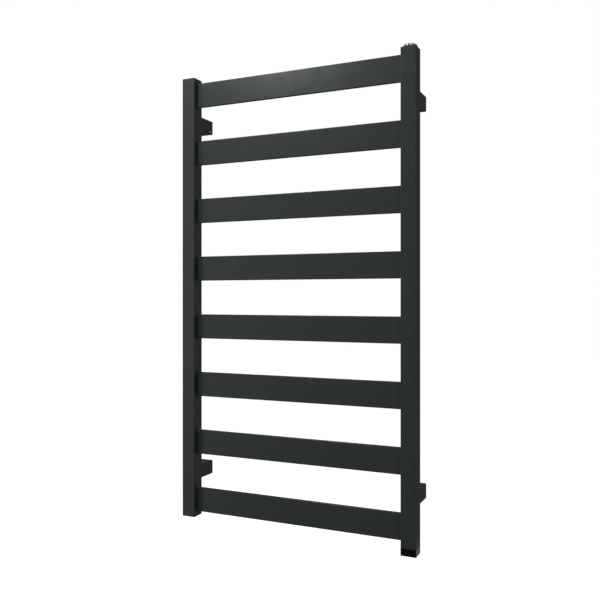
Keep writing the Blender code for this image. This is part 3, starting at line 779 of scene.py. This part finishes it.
def build_gland():
    """The rubber outlet for the mains lead: a grommet in the wall and a tapered sleeve with ribs."""
    low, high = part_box("cable_gland")
    centre = middle("cable_gland")
    bore = 3.3 * MM
    lip = 5.2 * MM
    neck = 4.2 * MM
    collar = 5.8 * MM
    wall_inside = low.y + 1.2 * MM
    wall_outside = wall_inside + 2 * MM
    tail_start = wall_outside + 1.5 * MM
    tail_end = high.y
    ribs = 5
    section = [(bore, low.y), (lip, low.y), (lip, wall_inside - FIT), (neck, wall_inside - FIT),
               (neck, wall_outside), (collar, wall_outside), (collar, tail_start)]
    for i in range(ribs):
        t0, t1, t2 = (i + 0.15) / ribs, (i + 0.5) / ribs, (i + 0.65) / ribs
        for t, depth in ((t0, 0.7), (t1, 0.7), (t2, 0), ((i + 1) / ribs, 0)):
            radius = collar - 0.5 * MM - (collar - 0.5 * MM - bore - 1.1 * MM) * t - depth * MM * 0.6
            section.append((radius, tail_start + (tail_end - tail_start) * t))
    section.append((bore, tail_end))
    gland = turned(softened(section, 0.2 * MM, 2, closed=True), SMALL_ROUND_SIDES, closed=True)
    piece("cable_strain_relief", moved(gland, (centre.x, 0, centre.z), ALONG_Y), RUBBER, ["cable_gland"])


# ---------------------------------------------------------------- the wall brackets

def build_bracket(corner):
    """A square sleeve over a block that is screwed to the wall, clamped by one domed screw."""
    name = f"bracket_{corner}"
    low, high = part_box(f"{name}_sleeve")
    centre = middle(f"{name}_sleeve")
    width, height = high.x - low.x, high.z - low.z
    wall = 2 * MM
    radius = 1.5 * MM
    floor = low.y + 3 * MM
    screw_centre = middle(f"{name}_clamp_screw")
    axis = screw_centre - centre
    sideways = corner.startswith("upper")
    if sideways:
        out_turn = turn(90 if axis.x > 0 else -90, "Y")
        face = high.x if axis.x > 0 else low.x
        origin = (face, screw_centre.y, screw_centre.z)
    else:
        out_turn = turn(180, "X")
        origin = (screw_centre.x, screw_centre.y, low.z)

    outside = rim(0.4 * MM, high.y, low.y)[::-1] + rim(0.5 * MM, low.y, high.y)
    rings = [square_ring(width, height, radius, y, inset) for inset, y in outside]
    rings += [square_ring(width, height, radius + wall, high.y, wall),
              square_ring(width, height, radius + wall, floor, wall)]
    sleeve = moved(lofted(rings), (centre.x, 0, centre.z), ALONG_Y)
    hole = moved(drum(2.2 * MM, -2 * wall, wall), origin, out_turn)
    piece(f"{name}_square_sleeve", cut(sleeve, hole), PAINT, [f"{name}_sleeve"])

    head = 3 * MM
    rise = 2.2 * MM
    section = [(0, -wall), (2 * MM, -wall), (2 * MM, 0.1 * MM), (head, 0.1 * MM), (head, 0.35 * rise)]
    for i in range(1, 7):
        angle = math.pi / 2 * i / 7
        section.append((head * math.cos(angle), rise * (0.35 + 0.65 * math.sin(angle))))
    section.append((0, rise))
    screw = turned(section, SMALL_ROUND_SIDES)
    socket = lofted([round_ring(1.25 * MM, z, 6) for z in (rise * 0.25, 2 * rise)])
    piece(f"{name}_domed_screw", moved(cut(screw, socket), origin, out_turn), ZINC, [f"{name}_clamp_screw"])

    node = f"{name}_wall_block"
    low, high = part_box(node)
    solid = bar(high.x - low.x, high.z - low.z, 1 * MM, low.y, high.y, 0.5 * MM)
    counterbore = turned([(0, low.y - MM), (6.8 * MM, low.y - MM), (6.5 * MM, low.y + 0.4 * MM),
                          (6.5 * MM, low.y + 9 * MM), (3.25 * MM, low.y + 9 * MM), (3.25 * MM, high.y + MM),
                          (0, high.y + MM)], SMALL_ROUND_SIDES)
    mounting_block = moved(cut(solid, counterbore), (centre.x, 0, centre.z), ALONG_Y)
    piece(f"{name}_mounting_block", mounting_block, ZINC, [node], "wall_fixings")


# ---------------------------------------------------------------- what is inside

def build_rod():
    """The hairpin heating rod as one smooth bar."""
    low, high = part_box("heater_rod")
    centre = middle("heater_rod")
    radius = 4 * MM
    spread = (high.x - low.x) / 2 - radius
    bend = high.z - radius - spread
    sides = 32
    steps = 24
    path = [(Vector((spread, 0, low.z)), 0.0)]
    for i in range(steps + 1):
        angle = math.pi * i / steps
        path.append((Vector((spread * math.cos(angle), 0, bend + spread * math.sin(angle))), angle))
    path.append((Vector((-spread, 0, low.z)), math.pi))
    rings = []
    for place, angle in path:
        tilt = Matrix.Rotation(-angle, 3, "Y")
        rings.append([place + tilt @ Vector(point) for point in round_ring(radius, 0, sides)])
    piece("heater_hairpin", moved(lofted(rings), (centre.x, centre.y, 0)), STAINLESS, ["heater_rod"])


def dress(nodes, look):
    """Gives CAD nodes that keep their shape a finished material."""
    for node in nodes:
        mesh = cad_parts[node].data
        mesh.materials.clear()
        mesh.materials.append(look)


def build_inside():
    build_rod()
    dress(["heater_sensor_tube"], STAINLESS)
    dress(["heater_bush", "heater_terminal_1", "heater_terminal_2", "heater_terminal_3"], BRASS)
    dress(["heater_gasket"], RUBBER)
    dress(["head_circuit_board"], BOARD)
    dress(["head_relay", "head_switch"], CASE)
    dress(["head_led"], RED_LENS)
    dress([f"bracket_{corner}_{part}" for corner in CORNERS for part in ("stud", "nut")], ZINC)


# ---------------------------------------------------------------- the studio

def build_camera():
    camera = bpy.data.objects.new("camera", bpy.data.cameras.new("camera"))
    camera.location = CAMERA_PLACE
    camera.rotation_euler = (math.pi / 2, 0, CAMERA_TURN)
    camera.data.lens = CAMERA_LENS
    camera.data.shift_y = CAMERA_SHIFT_Y
    camera.data.clip_end = 100
    bpy.context.scene.collection.objects.link(camera)
    bpy.context.scene.camera = camera


def build_lamps():
    """A soft key lamp up at the left, and one behind at the left that lights the rack's back.

    They are meant as wide bounce lights, so they cast no shadows.
    """
    for name, place, radius, power, colour, mirrored in LAMPS:
        data = bpy.data.lights.new(name, "POINT")
        data.energy = power
        data.color = colour
        data.shadow_soft_size = radius
        data.use_shadow = False
        lamp = bpy.data.objects.new(name, data)
        lamp.location = place
        lamp.visible_camera = False
        lamp.visible_glossy = mirrored
        bpy.context.scene.collection.objects.link(lamp)


def build_card():
    """A small bright card behind the rack, low on the right, that the side of the glossy head mirrors."""
    low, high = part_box("head_shell")
    side = Vector((high.x, (low.y + high.y) / 2, (low.z + high.z) / 2))
    sight = (side - Vector(CAMERA_PLACE)).normalized()
    mirrored = Vector((-sight.x, sight.y, sight.z))
    data = bpy.data.lights.new("card", "AREA")
    data.shape = "RECTANGLE"
    data.size = CARD_SIZE
    data.size_y = CARD_SIZE
    data.energy = CARD_RADIANCE * math.pi * CARD_SIZE ** 2
    card = bpy.data.objects.new("card", data)
    card.location = side + mirrored * CARD_DISTANCE
    card.rotation_euler = mirrored.to_track_quat("Z", "Y").to_euler()
    card.visible_camera = False
    bpy.context.scene.collection.objects.link(card)


def build_world():
    """White to the camera. To everything else it is a dark studio with a few large soft glows."""
    world = bpy.data.worlds.new("studio")
    world.use_nodes = True
    bpy.context.scene.world = world
    tree = world.node_tree
    background = tree.nodes["Background"]
    direction = tree.nodes.new("ShaderNodeTexCoord").outputs["Generated"]

    def math_node(operation, *values):
        made = tree.nodes.new("ShaderNodeMath")
        made.operation = operation
        for socket, value in zip(made.inputs, values):
            if isinstance(value, bpy.types.NodeSocket):
                tree.links.new(value, socket)
            else:
                socket.default_value = value
        return made.outputs[0]

    total = AMBIENT
    for azimuth, elevation, strength in GLOWS:
        azimuth, elevation = math.radians(azimuth), math.radians(elevation)
        across = math.cos(elevation)
        toward = (-math.sin(azimuth) * across, -math.cos(azimuth) * across, math.sin(elevation))
        dot = tree.nodes.new("ShaderNodeVectorMath")
        dot.operation = "DOT_PRODUCT"
        tree.links.new(direction, dot.inputs[0])
        dot.inputs[1].default_value = toward
        closeness = math_node("MULTIPLY_ADD", dot.outputs["Value"], GLOW_TIGHTNESS, -GLOW_TIGHTNESS)
        total = math_node("MULTIPLY_ADD", math_node("EXPONENT", closeness), strength, total)
    seen = tree.nodes.new("ShaderNodeLightPath").outputs["Is Camera Ray"]
    tree.links.new(math_node("MAXIMUM", total, seen), background.inputs["Strength"])
    background.inputs["Color"].default_value = WHITE


def build_floor():
    """A plain pale floor. It is too bright for the rack's shadow to show on it, and it lights nothing."""
    material = bpy.data.materials.new("pale_floor")
    material.use_nodes = True
    shader = material.node_tree.nodes["Principled BSDF"]
    shader.inputs["Base Color"].default_value = FLOOR_COLOUR
    shader.inputs["Roughness"].default_value = 0.8
    shader.inputs["Emission Color"].default_value = WHITE
    shader.inputs["Emission Strength"].default_value = FLOOR_GLOW
    mesh = bpy.data.meshes.new("floor")
    half = FLOOR_SIZE / 2
    height = CAD_BOUNDS[0][2] - FLOOR_DROP
    corners = [(-half, -half, height), (half, -half, height), (half, half, height), (-half, half, height)]
    mesh.from_pydata(corners, [], [(0, 1, 2, 3)])
    mesh.materials.append(material)
    floor = bpy.data.objects.new("floor", mesh)
    floor.visible_diffuse = False
    floor.visible_glossy = False
    bpy.context.scene.collection.objects.link(floor)


def build_studio():
    build_camera()
    build_world()
    build_floor()
    build_lamps()
    build_card()
    bpy.context.scene.view_settings.view_transform = "Standard"


build_ladder()
build_vent()
build_head()
for bracket_corner in CORNERS:
    build_bracket(bracket_corner)
build_inside()
build_studio()
